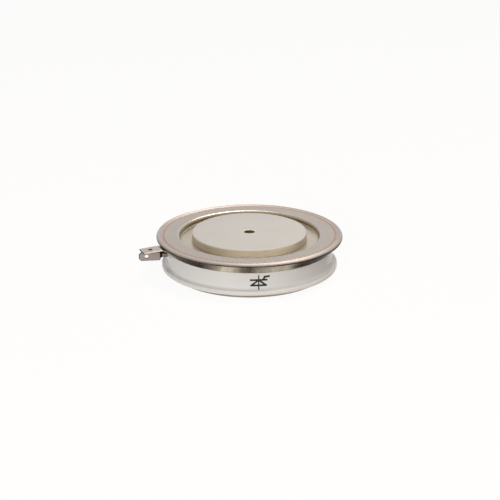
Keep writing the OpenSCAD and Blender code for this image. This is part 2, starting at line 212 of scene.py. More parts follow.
@dataclass(frozen=True)
class PlatedMetal(Finish):
    """Nickel plating over copper or pressed sheet: satin, with tone clouds, heat tints, painted light and shade
    in some colour stops, and a fine grain.
    """

    bands: tuple[tuple[float, str], ...]
    cloud: str
    along: Along = Along.RADIUS
    cloud_share: float = 0.35
    cloud_mm: float = 9.0
    # The real grain is finer than a pixel, so it is drawn as coarse as it needs to show
    grain_mm: float = 0.35
    grain_stretch: tuple[float, float, float] = (1.0, 1.0, 1.0)
    grain_height_mm: float = 0.004
    bump: float = 0.6
    grain_tone: float = 0.12
    roughness: float = 0.38
    roughness_swing: float = 0.08
    brushed: float = 0.0
    painted_light: str = "#ffffff"
    painted_light_axis: str = "X"
    painted_light_stops: tuple[tuple[float, float], ...] = ()

    def shader(self, tree: NodeTree) -> Node:
        """Band colours along the radius or the height, clouded, over a satin metal with a fine grain.

        Args:
            tree: Node tree of the material.

        Returns:
            The surface's node.
        """
        place = add_node(tree, "TexCoord").outputs["Object"]
        if self.along is Along.RADIUS:
            flat = add_node(tree, "VectorMath", {0: place, 1: (1, 1, 0)}, operation="MULTIPLY")
            distance = add_node(tree, "VectorMath", {0: flat}, operation="LENGTH").outputs["Value"]
        else:
            distance = add_node(tree, "SeparateXYZ", {0: place}).outputs["Z"]
        clouds = add_node(
            tree, "TexNoise", {"Vector": place, "Scale": 1 / (self.cloud_mm * MM), "Detail": 3.0}
        )
        low, high = CLOUD_RANGE
        cloudy = add_node(
            tree, "MapRange", {"Value": clouds, "From Min": low, "From Max": high, "To Max": self.cloud_share}
        )
        layers = [(cloudy.outputs[0], self.cloud)]
        # Painted light: a lighter colour laid along one axis stands in for reflections of the surroundings
        if self.painted_light_stops:
            across = add_node(tree, "SeparateXYZ", {0: place}).outputs[self.painted_light_axis]
            covers = [(at, (cover, cover, cover, 1.0)) for at, cover in self.painted_light_stops]
            layers.append((banded(tree, across, covers), self.painted_light))
        tone = banded(tree, distance, [(at, linear(code)) for at, code in self.bands])
        for share, code in layers:
            inputs = {"Factor": share, "A": tone, "B": linear(code)}
            tone = add_node(tree, "Mix", inputs, data_type="RGBA").outputs["Result"]
        stretched = add_node(tree, "Mapping", {"Vector": place, "Scale": self.grain_stretch})
        grain = add_node(
            tree, "TexNoise", {"Vector": stretched, "Scale": 1 / (self.grain_mm * MM), "Detail": 2.0}
        )
        # One grain moves the tone, the gloss and the relief
        low, high = GRAIN_RANGE
        shade, gloss = (
            add_node(tree, "MapRange", {
                "Value": grain, "From Min": low, "From Max": high, "To Min": least, "To Max": most,
            })
            for least, most in (
                (1 - self.grain_tone, 1.0),
                (self.roughness - self.roughness_swing, self.roughness + self.roughness_swing),
            )
        )
        grained = add_node(
            tree, "Mix", {"Factor": 1.0, "A": tone, "B": shade}, data_type="RGBA", blend_type="MULTIPLY"
        )
        relief = add_node(
            tree, "Bump", {"Strength": self.bump, "Distance": self.grain_height_mm * MM, "Height": grain}
        )
        # The brush or the lathe tool ran round the axis, so a highlight spreads across its marks
        marks = add_node(tree, "VectorMath", {0: (0, 0, 1), 1: place}, operation="CROSS_PRODUCT")
        normal = add_node(tree, "NewGeometry").outputs["Normal"]
        across_marks = add_node(tree, "VectorMath", {0: normal, 1: marks}, operation="CROSS_PRODUCT")
        return add_node(tree, "BsdfPrincipled", {
            "Base Color": grained.outputs["Result"], "Metallic": 1.0, "Roughness": gloss, "Normal": relief,
            "Anisotropic": self.brushed, "Tangent": across_marks,
        })


@dataclass(frozen=True)
class PlainFinish(Finish):
    """A single material with a soft mottle: ceramic, ink, plastics, rubber and the discs inside the cell."""

    colour: str
    mottle: str
    mottle_mm: float = 3.0
    metallic: float = 0.0
    roughness: float = 0.4
    roughness_swing: float = 0.06
    ior: float = 1.5
    coat: float = 0.0
    relief_mm: float = 0.01
    bump: float = 0.5

    def shader(self, tree: NodeTree) -> Node:
        """Two close tones in a soft noise, which also moves the gloss and the relief a little.

        Args:
            tree: Node tree of the material.

        Returns:
            The surface's node.
        """
        place = add_node(tree, "TexCoord").outputs["Object"]
        noise = add_node(
            tree, "TexNoise", {"Vector": place, "Scale": 1 / (self.mottle_mm * MM), "Detail": 4.0}
        )
        low, high = MOTTLE_RANGE
        share = add_node(tree, "MapRange", {"Value": noise, "From Min": low, "From Max": high})
        inputs = {"Factor": share, "A": linear(self.colour), "B": linear(self.mottle)}
        tone = add_node(tree, "Mix", inputs, data_type="RGBA").outputs["Result"]
        least, most = self.roughness - self.roughness_swing, self.roughness + self.roughness_swing
        gloss = add_node(tree, "MapRange", {"Value": noise, "To Min": least, "To Max": most})
        relief = add_node(
            tree, "Bump", {"Strength": self.bump, "Distance": self.relief_mm * MM, "Height": noise}
        )
        surface = {
            "Base Color": tone, "Metallic": self.metallic, "Roughness": gloss, "Normal": relief,
            "Coat Weight": self.coat,
        }
        if not self.metallic:
            surface["IOR"] = self.ior
        return add_node(tree, "BsdfPrincipled", surface)


# Lapped on a flat plate and nickel plated: an even, warm grey, almost without shine
LAPPED_FACE = PlatedMetal(
    "nickel_plated_copper_lapped", ((0.0, "#b4ada5"), (19.0, "#b2aba2")), "#aca59e",
    cloud_mm=11.0, grain_mm=0.45, grain_tone=0.05,
)
# Turned on a lathe and nickel plated: a little yellow, with fine rings that run round the wall
TURNED_WALL = PlatedMetal(
    "nickel_plated_copper_turned", ((0.0, "#d8cfbd"), (19.0, "#d6ccb9")), "#cfc2a8", grain_mm=0.5,
    grain_stretch=(0.15, 0.15, 1.6), roughness=0.5, brushed=0.5,
)
# The bottom and wall of a drilled hole, painted a darker brown as painted shade, with its mouth painted bright
# as a painted highlight
HOLE_PAINTED_SHADE_AND_HIGHLIGHT = PlatedMetal(
    "drilled_hole_painted_shade_and_highlight",
    ((0.0, "#b0a182"), (1.74, "#ada085"), (1.8, "#e9dfcd"), (2.1, "#dcd1be")), "#9c8c6c",
    cloud_mm=1.5, roughness=0.3,
)
# Pressed sheet, nickel plated and heated at the weld: a warm grey, with a copper tint in the rim's groove
TINTED_LID = PlatedMetal(
    "nickel_plated_sheet_heat_tinted",
    (
        (23.0, "#b0a59a"), (23.6, "#a69b92"), (27.2, "#a69b91"),
        (27.45, "#b3937f"), (27.65, "#a37b60"), (27.9, "#bd9d8a"),
    ),
    "#a1968f", cloud_share=0.4, cloud_mm=12.0, grain_mm=0.5, grain_height_mm=0.001, grain_tone=0.06,
    roughness=0.27, roughness_swing=0.05,
)
# The sunk channel of the same sheet: its steep wall is painted darker as painted shade, and its front is
# painted pale as a painted reflection
CHANNEL_PAINTED_LIGHT = PlatedMetal(
    "nickel_plated_sheet_channel_painted_light",
    ((18.0, "#b1a799"), (21.9, "#aea394"), (22.3, "#95866d"), (22.6, "#95866d"), (23.0, "#b6aba0")),
    "#a89c8b", grain_mm=0.5, grain_height_mm=0.002, grain_tone=0.06, roughness=0.3, painted_light="#e6dfd2",
    painted_light_axis="Y", painted_light_stops=((-21.0, 1.0), (-12.0, 0.0)),
)
# The rim outside the groove, dressed with a brush after welding: a bright streak in front and behind, and its
# outermost edge painted dark brown as a painted dark reflection
BRUSHED_RIM_PAINTED_DARK_EDGE = PlatedMetal(
    "nickel_plated_sheet_brushed",
    (
        (27.8, "#c2a897"), (28.3, "#cabfb7"), (29.5, "#cac0b9"),
        # The last two stops paint the bead's outer edge dark: a painted dark reflection
        (29.88, "#b9aca1"), (29.97, "#54463a"), (30.0, "#3a2d23"),
    ),
    "#bba99d", cloud_mm=8.0, grain_mm=0.5, grain_height_mm=0.001, grain_tone=0.08, roughness=0.6,
    brushed=0.9,
)
# The skirt under the rim and the bead's lower half: painted dark brown as a painted dark reflection and shade,
# with pale painted reflections along X
SKIRT_PAINTED_REFLECTION = PlatedMetal(
    "pressed_sheet_painted_dark_reflection",
    ((9.85, "#5d4c3a"), (10.3, "#3c2e23"), (11.0, "#2a1f18"), (12.3, "#281d16"), (12.7, "#31261e")),
    "#4a3a2d", along=Along.HEIGHT, cloud_share=0.4, cloud_mm=3.0, grain_mm=0.7,
    grain_stretch=(1.0, 1.0, 0.12), grain_tone=0.3, roughness=0.3, painted_light="#ece1cc",
    painted_light_stops=(
        (-18.0, 0.0), (-13.5, 0.35), (-11.5, 0.85), (-9.5, 0.8), (-6.0, 0.2), (-3.5, 0.1),
        (-1.0, 0.35), (4.0, 0.6), (8.5, 0.55), (11.0, 0.1), (13.0, 0.0),
    ),
)
# Sheet under the ceramic: the same plating without the heat
ANODE_SHEET = PlatedMetal(
    "nickel_plated_sheet", ((18.0, "#a89f94"), (25.0, "#a0968c")), "#8f867e", roughness=0.4,
)
# Stamped strip, nickel plated: satin with fine scuffs
STAMPED_TAB = PlatedMetal(
    "nickel_plated_stamped_strip", ((26.0, "#aba097"), (38.0, "#b3a89f")), "#93867c",
    cloud_mm=2.5, grain_mm=0.4, roughness=0.34,
)
# Painted shade on the strip and tube: dark brown laid where shade and dark reflections fall, on ends, edges,
# downward faces, hole walls and the pinch
PAINTED_SHADE_EDGE = PlatedMetal(
    "nickel_plated_strip_painted_shade", ((26.0, "#433529"), (38.0, "#3f3226")), "#32271e",
    cloud_mm=1.0, grain_mm=0.3, roughness=0.5,
)
# The strip's long edges, rubbed smooth by the die and painted brighter than its faces as a painted highlight
BURNISHED_EDGE_PAINTED_HIGHLIGHT = PlatedMetal(
    "nickel_plated_strip_burnished_painted_highlight", ((26.0, "#ccc2b6"), (38.0, "#d0c6ba")), "#bdb2a5",
    cloud_mm=1.5, grain_mm=0.3, roughness=0.3,
)
# Glazed alumina: a soft white under a clear glaze, with the faintest unevenness
GLAZED_ALUMINA = PlainFinish(
    "glazed_alumina", "#e6e5e1", "#dfdeda", mottle_mm=5.0, roughness=0.24, ior=1.55, coat=0.3, relief_mm=0.02
)
# Screen printed ceramic ink: black, slightly raised and less glossy than the glaze
PRINT_INK = PlainFinish("screen_printed_ink", "#141210", "#1d1a17", mottle_mm=0.4, roughness=0.5)
INNER_FINISHES: dict[str, PlainFinish] = {
    "molybdenum": PlainFinish("ground_molybdenum", "#8d8e92", "#7f8084", 0.6, metallic=1.0, roughness=0.42),
    "silicon": PlainFinish("lapped_silicon", "#565b66", "#4b5059", 1.0, metallic=1.0, roughness=0.2),
    "silicone": PlainFinish("silicone_rubber", "#a8402f", "#98382a", 1.0, roughness=0.6),
    "ptfe": PlainFinish("natural_ptfe", "#efece2", "#e6e2d6", 1.5, roughness=0.45, ior=1.35),
    "spring_steel": PlainFinish("drawn_spring_wire", "#a3a3a3", "#8f8f8f", 0.3, metallic=1.0, roughness=0.3),
    "plated_wire": PlainFinish("plated_copper_wire", "#bdb5a8", "#aaa294", 0.4, metallic=1.0, roughness=0.3),
}


def add_object(name: str, data: ID) -> Object:
    """Make an object and link it to the scene.

    Args:
        name: Name of the object.
        data: Its mesh, lamp or camera.

    Returns:
        The object.
    """
    made = bpy.data.objects.new(name, data)
    bpy.context.scene.collection.objects.link(made)
    return made


def as_object(name: str, shape: BMesh) -> Object:
    """Close a shape, turn its faces outwards and make it an object with smooth shading.

    Args:
        name: Name of the object.
        shape: The shape, which is freed.

    Returns:
        The object, linked to the scene.
    """
    bmesh.ops.remove_doubles(shape, verts=shape.verts[:], dist=WELD)
    bmesh.ops.recalc_face_normals(shape, faces=shape.faces[:])
    mesh = bpy.data.meshes.new(name)
    shape.to_mesh(mesh)
    shape.free()
    mesh.shade_smooth()
    mesh.set_sharp_from_angle(angle=CRISP)
    return add_object(name, mesh)


def rounded(shape: BMesh, geom: list[Any], offset: float, segments: int, affect: str = "EDGES") -> None:
    """Round edges or corners of a shape, or cut them off with one segment; the offset is in millimetres."""
    bmesh.ops.bevel(
        shape, geom=geom, offset=offset * MM, offset_type="OFFSET", segments=segments, profile=0.5,
        affect=affect, material=-1,
    )


def turned(name: str, places: Sequence[tuple[float, ...]], arc_steps: int = 6) -> Object:
    """Turn a section about the cell's axis.

    Args:
        name: Name of the piece.
        places: Radius, height and, where it is rounded, rounding of each corner of the section, in order and
            in millimetres. A section that starts on the axis ends there too, and any other is closed.
        arc_steps: Facets of each rounded corner.

    Returns:
        The turned piece.
    """
    points = [Vector((place[0], 0.0, place[1])) * MM for place in places]
    closed = places[0][0] > 0
    shape = bmesh.new()
    verts = [shape.verts.new(point) for point in points]
    for a, b in zip(verts, verts[1:] + verts[:1] if closed else verts[1:]):
        shape.edges.new((a, b))
    for i, (_, _, *rounding) in enumerate(places):
        if not rounding:
            continue
        before, after = (points[j % len(points)] - points[i] for j in (i - 1, i + 1))
        rounded(shape, [verts[i]], rounding[0] / math.tan(before.angle(after) / 2), arc_steps, "VERTICES")
    bmesh.ops.spin(
        shape, geom=shape.verts[:] + shape.edges[:], cent=(0, 0, 0), axis=(0, 0, 1), angle=math.tau,
        steps=TURN_STEPS, use_merge=True,
    )
    return as_object(name, shape)


def bar(name: str, frame: Matrix, radius: float, length: float) -> Object:
    """Make a round bar for cutting a hole.

    Args:
        name: Name of the bar.
        frame: Its place, with Z along the bar.
        radius: Radius in millimetres.
        length: Length in millimetres.

    Returns:
        The bar.
    """
    shape = bmesh.new()
    bmesh.ops.create_cone(
        shape, cap_ends=True, segments=BAR_STEPS, radius1=radius * MM, radius2=radius * MM,
        depth=length * MM, matrix=frame,
    )
    return as_object(name, shape)


def block(low: Vector, high: Vector) -> BMesh:
    """Make a plain block.

    Args:
        low: Lowest corner in millimetres.
        high: Highest corner in millimetres.

    Returns:
        The block.
    """
    shape = bmesh.new()
    place = Matrix.Translation((low + high) / 2 * MM) @ Matrix.Diagonal(((high - low) * MM).to_4d())
    bmesh.ops.create_cube(shape, size=1.0, matrix=place)
    return shape


def cut(piece: Object, cutter: Object) -> None:
    """Cut a hole into a piece and remove the cutter.

    Args:
        piece: The piece, whose mesh is replaced.
        cutter: The shape to take away.
    """
    modifier = piece.modifiers.new("hole", "BOOLEAN")
    modifier.operation = "DIFFERENCE"
    modifier.solver = "EXACT"
    modifier.object = cutter
    evaluated = piece.evaluated_get(bpy.context.evaluated_depsgraph_get())
    mesh = bpy.data.meshes.new_from_object(evaluated)
    piece.modifiers.clear()
    spare = piece.data
    piece.data = mesh
    mesh.name = piece.name
    bpy.data.meshes.remove(spare)
    bpy.data.objects.remove(cutter)
    mesh.set_sharp_from_angle(angle=CRISP)


def install(piece: Object, node: str, finish: Finish) -> Object:
    """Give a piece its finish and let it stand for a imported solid.

    Args:
        piece: The finished mesh.
        node: Name of the solid that it replaces.
        finish: Surface of the piece.

    Returns:
        The piece.
    """
    piece.data.materials.clear()
    piece.data.materials.append(finish.material())
    even = piece.modifiers.new("even_shading", "WEIGHTED_NORMAL")
    even.keep_sharp = True
    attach(piece, BODY)
    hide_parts(node)
    LOG.info("%s replaces %s: %d faces", piece.name, node, len(piece.data.polygons))
    return piece


def paint(piece: Object, finish: Finish, covers: Callable[[MeshPolygon], bool]) -> None:
    """Give some faces of a piece a finish of their own.

    Args:
        piece: The piece.
        finish: Their surface.
        covers: Says whether a face gets it.
    """
    number = len(piece.data.materials)
    piece.data.materials.append(finish.material())
    for face in piece.data.polygons:
        if covers(face):
            face.material_index = number


def span(node: str, axis: str) -> tuple[float, float]:
    """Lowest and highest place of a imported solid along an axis, in millimetres."""
    low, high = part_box(node)
    return getattr(low, axis) / MM, getattr(high, axis) / MM


def end_of(node: str, axis: str, end: int) -> Any:
    """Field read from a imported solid: its lowest (0) or highest (1) place along an axis, in millimetres."""
    return field(default_factory=lambda: span(node, axis)[end])


@dataclass(frozen=True)
class CellSizes:
    """Main sizes of the cell in millimetres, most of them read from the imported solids."""

    rim_r: float = end_of("weld_ring", "x", 1)
    cell_h: float = end_of("cathode_pole", "z", 1)
    seam_z: float = end_of("weld_ring", "z", 1)
    lid_seat_z: float = end_of("lid_flange", "z", 0)
    stack_top: float = end_of("cathode_pole", "z", 0)
    shoulder_r: float = end_of("cathode_pole", "x", 1)
    ceramic_z0: float = end_of("ceramic_ring", "z", 0)
    ceramic_z1: float = end_of("ceramic_ring", "z", 1)
    foot_r: float = end_of("ceramic_ring", "x", 1)
    anode_floor_z: float = end_of("anode_flange", "z", 1)
    anode_flat_z: float = end_of("anode_flange", "z", 0)
    anode_edge_r: float = end_of("anode_flange", "x", 1)
    anode_pole_h: float = end_of("anode_pole", "z", 1)
    disc_r: float = end_of("cathode_disc", "x", 1)
    bush_r: float = end_of("gate_bush", "x", 1)
    bush_top: float = end_of("gate_bush", "z", 1)
    locating_r: float = end_of("locating_ring", "x", 1)
    gate_z: float = field(default_factory=lambda: sum(span("gate_tube", "z")) / 2)
    loose_gap: float = 0.2
    braze_gap: float = 0.05
    waist_depth: float = 3.2
    tube_r: float = 0.9

    @property
    def waist_r(self) -> float:
        """Radius of the ceramic's waist."""
        return self.rim_r - self.waist_depth

    @property
    def bore_r(self) -> float:
        """Radius of the ceramic's bore."""
        return self.locating_r + self.loose_gap


@dataclass
class ContactPoles:
    """The two turned copper poles, whose faces are pressed between heat sinks."""

    cell: CellSizes
    shoulder_w: float = 0.5
    shoulder_h: float = 1.0
    edge: float = 0.2
    edge_rounding: float = 0.08
    hole_r: float = 1.75
    hole_depth: float = 1.9
    hole_edge: float = 0.3
    hole_rounding: float = 0.06
    mouth_share: float = 0.95
    lead_cut_w: float = 1.7

    @property
    def pole_r(self) -> float:
        """Radius of the contact faces."""
        return self.cell.shoulder_r - self.shoulder_w

    def face_corners(self, face_z: float, inward: int) -> list[tuple[float, ...]]:
        """Give the corners from the bottom of the centre hole out to the pole's wall.

        Args:
            face_z: Height of the contact face.
            inward: Direction along the axis from the face into the pole, 1 or -1.

        Returns:
            Radius, height and rounding of each corner, in order.
        """
        return [
            (0.0, face_z + inward * self.hole_depth),
            (self.hole_r, face_z + inward * self.hole_depth, self.hole_rounding),
            (self.hole_r, face_z + inward * self.hole_edge, self.hole_rounding),
            (self.hole_r + self.hole_edge, face_z, self.hole_rounding),
            (self.pole_r - self.edge, face_z, self.edge_rounding),
            (self.pole_r, face_z + inward * self.edge, self.edge_rounding),
        ]

    def dress(self, pole: Object, node: str, face_z: float) -> None:
        """Give the wall its turned finish, the face its lapped one, and the hole its painted shade with a
        painted highlight on its mouth.

        Args:
            pole: The pole.
            node: Name of the solid that it replaces.
            face_z: Height of the contact face.
        """
        install(pole, node, TURNED_WALL)
        paint(pole, LAPPED_FACE, lambda face: abs(face.center.z - face_z * MM) < 0.5 * self.edge * MM)
        mouth = (self.hole_r + self.mouth_share * self.hole_edge) * MM
        # A face near the axis that lies deeper is in the pocket behind the hole
        bottom = (self.hole_depth + self.edge) * MM
        # Painted shade in the hole, and a painted highlight on its mouth
        paint(
            pole, HOLE_PAINTED_SHADE_AND_HIGHLIGHT,
            lambda face: face.center.xy.length < mouth and abs(face.center.z - face_z * MM) < bottom,
        )

    def build_cathode(self) -> None:
        """Build the upper pole, with the pocket for the gate contact and the channel for its lead."""
        cell = self.cell
        shoulder_low = cell.lid_seat_z - self.shoulder_h
        pocket_r = cell.bush_r + cell.loose_gap / 2
        pocket_top = cell.bush_top + cell.loose_gap / 2
        pole = turned("cathode_pole_turned", [
            *self.face_corners(cell.cell_h, -1), (self.pole_r, cell.lid_seat_z),
            (cell.shoulder_r, cell.lid_seat_z), (cell.shoulder_r, shoulder_low), (cell.disc_r, shoulder_low),
            (cell.disc_r, cell.stack_top), (pocket_r, cell.stack_top), (pocket_r, pocket_top),
            (0.0, pocket_top),
        ])
        half = self.lead_cut_w / 2
        low = Vector((-cell.shoulder_r - OVER_MM, -half, cell.stack_top - OVER_MM))
        cut(pole, as_object("lead_channel", block(low, Vector((0, half, cell.gate_z + half)))))
        self.dress(pole, "cathode_pole", cell.cell_h)

    def build_anode(self) -> None:
        """Build the lower pole."""
        cell = self.cell
        pole = turned("anode_pole_turned", [
            *self.face_corners(0.0, 1), (self.pole_r, cell.anode_floor_z),
            (cell.shoulder_r, cell.anode_floor_z), (cell.shoulder_r, cell.anode_pole_h),
            (0.0, cell.anode_pole_h),
        ])
        self.dress(pole, "anode_pole", 0.0)

    def build(self) -> None:
        """Build both poles."""
        self.build_cathode()
        self.build_anode()


@dataclass
class SheetFlanges:
    """The pressed sheets: the lid round the cathode pole, the ring under it, and the anode flange."""

    cell: CellSizes
    pole_r: float
    lid_sheet: float = 0.6
    anode_sheet: float = 0.5
    ring_sheet: float = 0.65
    channel_w: float = 3.9
    bend_r: float = 0.4
    bead_r: float = 0.75
    groove_w: float = 0.4
    groove_depth: float = 0.16
    groove_inset: float = 2.35
    ring_clearance: float = 0.6
    ring_overhang: float = 0.65
    ring_flare: float = 0.75
    ring_bend_r: float = 0.5
    lip_edge_r: float = 0.2
    crease_rounding: float = 0.06
    edge_rounding: float = 0.08

    @property
    def bead_mid_r(self) -> float:
        """Radius at the middle of the rim's round edge."""
        return self.cell.rim_r - self.bead_r

    @property
    def lip_z(self) -> float:
        """Height of the underside of the rim."""
        return self.cell.seam_z - self.bead_r

    @property
    def lip_r(self) -> float:
        """Radius where the skirt meets the underside of the rim."""
        return self.cell.waist_r + self.ring_overhang + self.ring_flare

    def build_lid(self) -> None:
        """Build the lid: sunk channel, step, flat ring, fine groove and the upper half of the rim."""
        cell, sheet = self.cell, self.lid_sheet
        inner_r = self.pole_r + cell.braze_gap
        step_r = self.pole_r + self.channel_w
        floor_z = cell.lid_seat_z + sheet
        top_z = cell.seam_z + sheet
        bead_top = cell.seam_z + self.bead_r
        # The rim's arc leaves the flat ring where it is one sheet above the seam
        half_chord = math.sqrt(self.bead_r**2 - sheet**2)
        crease_r = self.bead_mid_r - half_chord
        arc_corner_r = self.bead_mid_r - self.bead_r * (self.bead_r - sheet) / half_chord
        groove_r = cell.rim_r - self.groove_inset
        lid = turned("lid_flange_pressed", [
            (inner_r, cell.lid_seat_z), (step_r + sheet, cell.lid_seat_z, self.bend_r + sheet),
            (step_r + sheet, cell.seam_z, self.bend_r), (cell.rim_r, cell.seam_z),
            (cell.rim_r, bead_top, self.bead_r), (arc_corner_r, bead_top, self.bead_r),
            (crease_r, top_z, self.crease_rounding),
            (groove_r + self.groove_w / 2, top_z, self.crease_rounding),
            (groove_r, top_z - self.groove_depth, self.crease_rounding),
            (groove_r - self.groove_w / 2, top_z, self.crease_rounding), (step_r, top_z, self.bend_r + sheet),
            (step_r, floor_z, self.bend_r), (inner_r, floor_z),
        ], arc_steps=10)
        install(lid, "lid_flange", TINTED_LID)
        band_r = (groove_r + self.groove_w / 2) * MM
        # The rim band, with its outer edge painted dark as a painted dark reflection
        paint(lid, BRUSHED_RIM_PAINTED_DARK_EDGE, lambda face: face.center.xy.length > band_r)
        bend_r = (step_r + self.bend_r + sheet / 2) * MM
        # Painted shade on the channel's wall, and a painted reflection on its front
        paint(lid, CHANNEL_PAINTED_LIGHT, lambda face: face.center.xy.length < bend_r)

    def build_ring(self) -> None:
        """Build the weld ring: the foot on the ceramic, the flared skirt and the lower half of the rim."""
        cell, sheet = self.cell, self.ring_sheet
        inner_r = self.pole_r + self.channel_w + self.lid_sheet + self.ring_clearance
        skirt_r = cell.waist_r + self.ring_overhang
        ring = turned("weld_ring_pressed", [
            (inner_r, cell.ceramic_z1), (skirt_r, cell.ceramic_z1, self.ring_bend_r),
            (self.lip_r, self.lip_z, self.lip_edge_r), (cell.rim_r, self.lip_z, self.bead_r),
            (cell.rim_r, cell.seam_z), (self.lip_r - sheet, cell.seam_z, self.edge_rounding),
            (skirt_r - sheet, cell.ceramic_z1 + sheet, self.edge_rounding),
            (inner_r, cell.ceramic_z1 + sheet, self.edge_rounding),
        ], arc_steps=10)
        # The whole ring, the bead's lower half included, gets the painted dark reflection and shade
        install(ring, "weld_ring", SKIRT_PAINTED_REFLECTION)

    def build_anode_flange(self) -> None:
        """Build the flange under the ceramic, whose edge shows at the very bottom."""
        cell, sheet = self.cell, self.anode_sheet
        inner_r = self.pole_r + cell.braze_gap
        flat_z = cell.anode_flat_z
        step_r = cell.bore_r - self.bend_r - sheet
        flange = turned("anode_flange_pressed", [
            (inner_r, cell.anode_floor_z - sheet), (step_r, cell.anode_floor_z - sheet, self.bend_r),
            (step_r, flat_z, self.bend_r + sheet), (cell.anode_edge_r, flat_z, self.edge_rounding),
            (cell.anode_edge_r, flat_z + sheet, self.edge_rounding),
            (step_r + sheet, flat_z + sheet, self.bend_r),
            (step_r + sheet, cell.anode_floor_z, self.bend_r + sheet), (inner_r, cell.anode_floor_z),
        ])
        install(flange, "anode_flange", ANODE_SHEET)

    def build(self) -> None:
        """Build the three sheets."""
        self.build_lid()
        self.build_ring()
        self.build_anode_flange()


@dataclass
class CeramicRing:
    """The glazed insulating wall, with a plain waist and a flared foot."""

    cell: CellSizes
    base_w: float = 2.7
    foot_rise: float = 2.1
    foot_t: float = 1.3
    foot_edge_r: float = 0.55
    cove_r: float = 0.8
    edge: float = 0.25
    edge_rounding: float = 0.08

    def build(self) -> Object:
        """Build the ring with the hole for the gate tube.

        Returns:
            The ring.
        """
        cell = self.cell
        bore_r, waist_r = cell.bore_r, cell.waist_r
        base_r = bore_r + self.base_w
        foot_z = cell.ceramic_z0 + self.foot_rise
        nose = self.foot_t / 2
        ring = turned("ceramic_ring_glazed", [
            (bore_r, cell.ceramic_z0), (base_r - self.edge, cell.ceramic_z0, self.edge_rounding),
            (base_r, cell.ceramic_z0 + self.edge, self.edge_rounding),
            (cell.foot_r, foot_z - nose, self.foot_edge_r), (cell.foot_r, foot_z + nose, self.foot_edge_r),
            (waist_r, foot_z + nose + self.edge, self.cove_r),
            (waist_r, cell.ceramic_z1 - self.edge, self.edge_rounding),
            (waist_r - self.edge, cell.ceramic_z1, self.edge_rounding), (bore_r, cell.ceramic_z1),
        ], arc_steps=8)
        outer, inner = -cell.foot_r, OVER_MM - bore_r
        frame = Matrix.Translation(Vector(((outer + inner) / 2, 0, cell.gate_z)) * MM) @ TO_X
        cut(ring, bar("gate_hole", frame, cell.tube_r + cell.braze_gap, inner - outer))
        return install(ring, "ceramic_ring", GLAZED_ALUMINA)


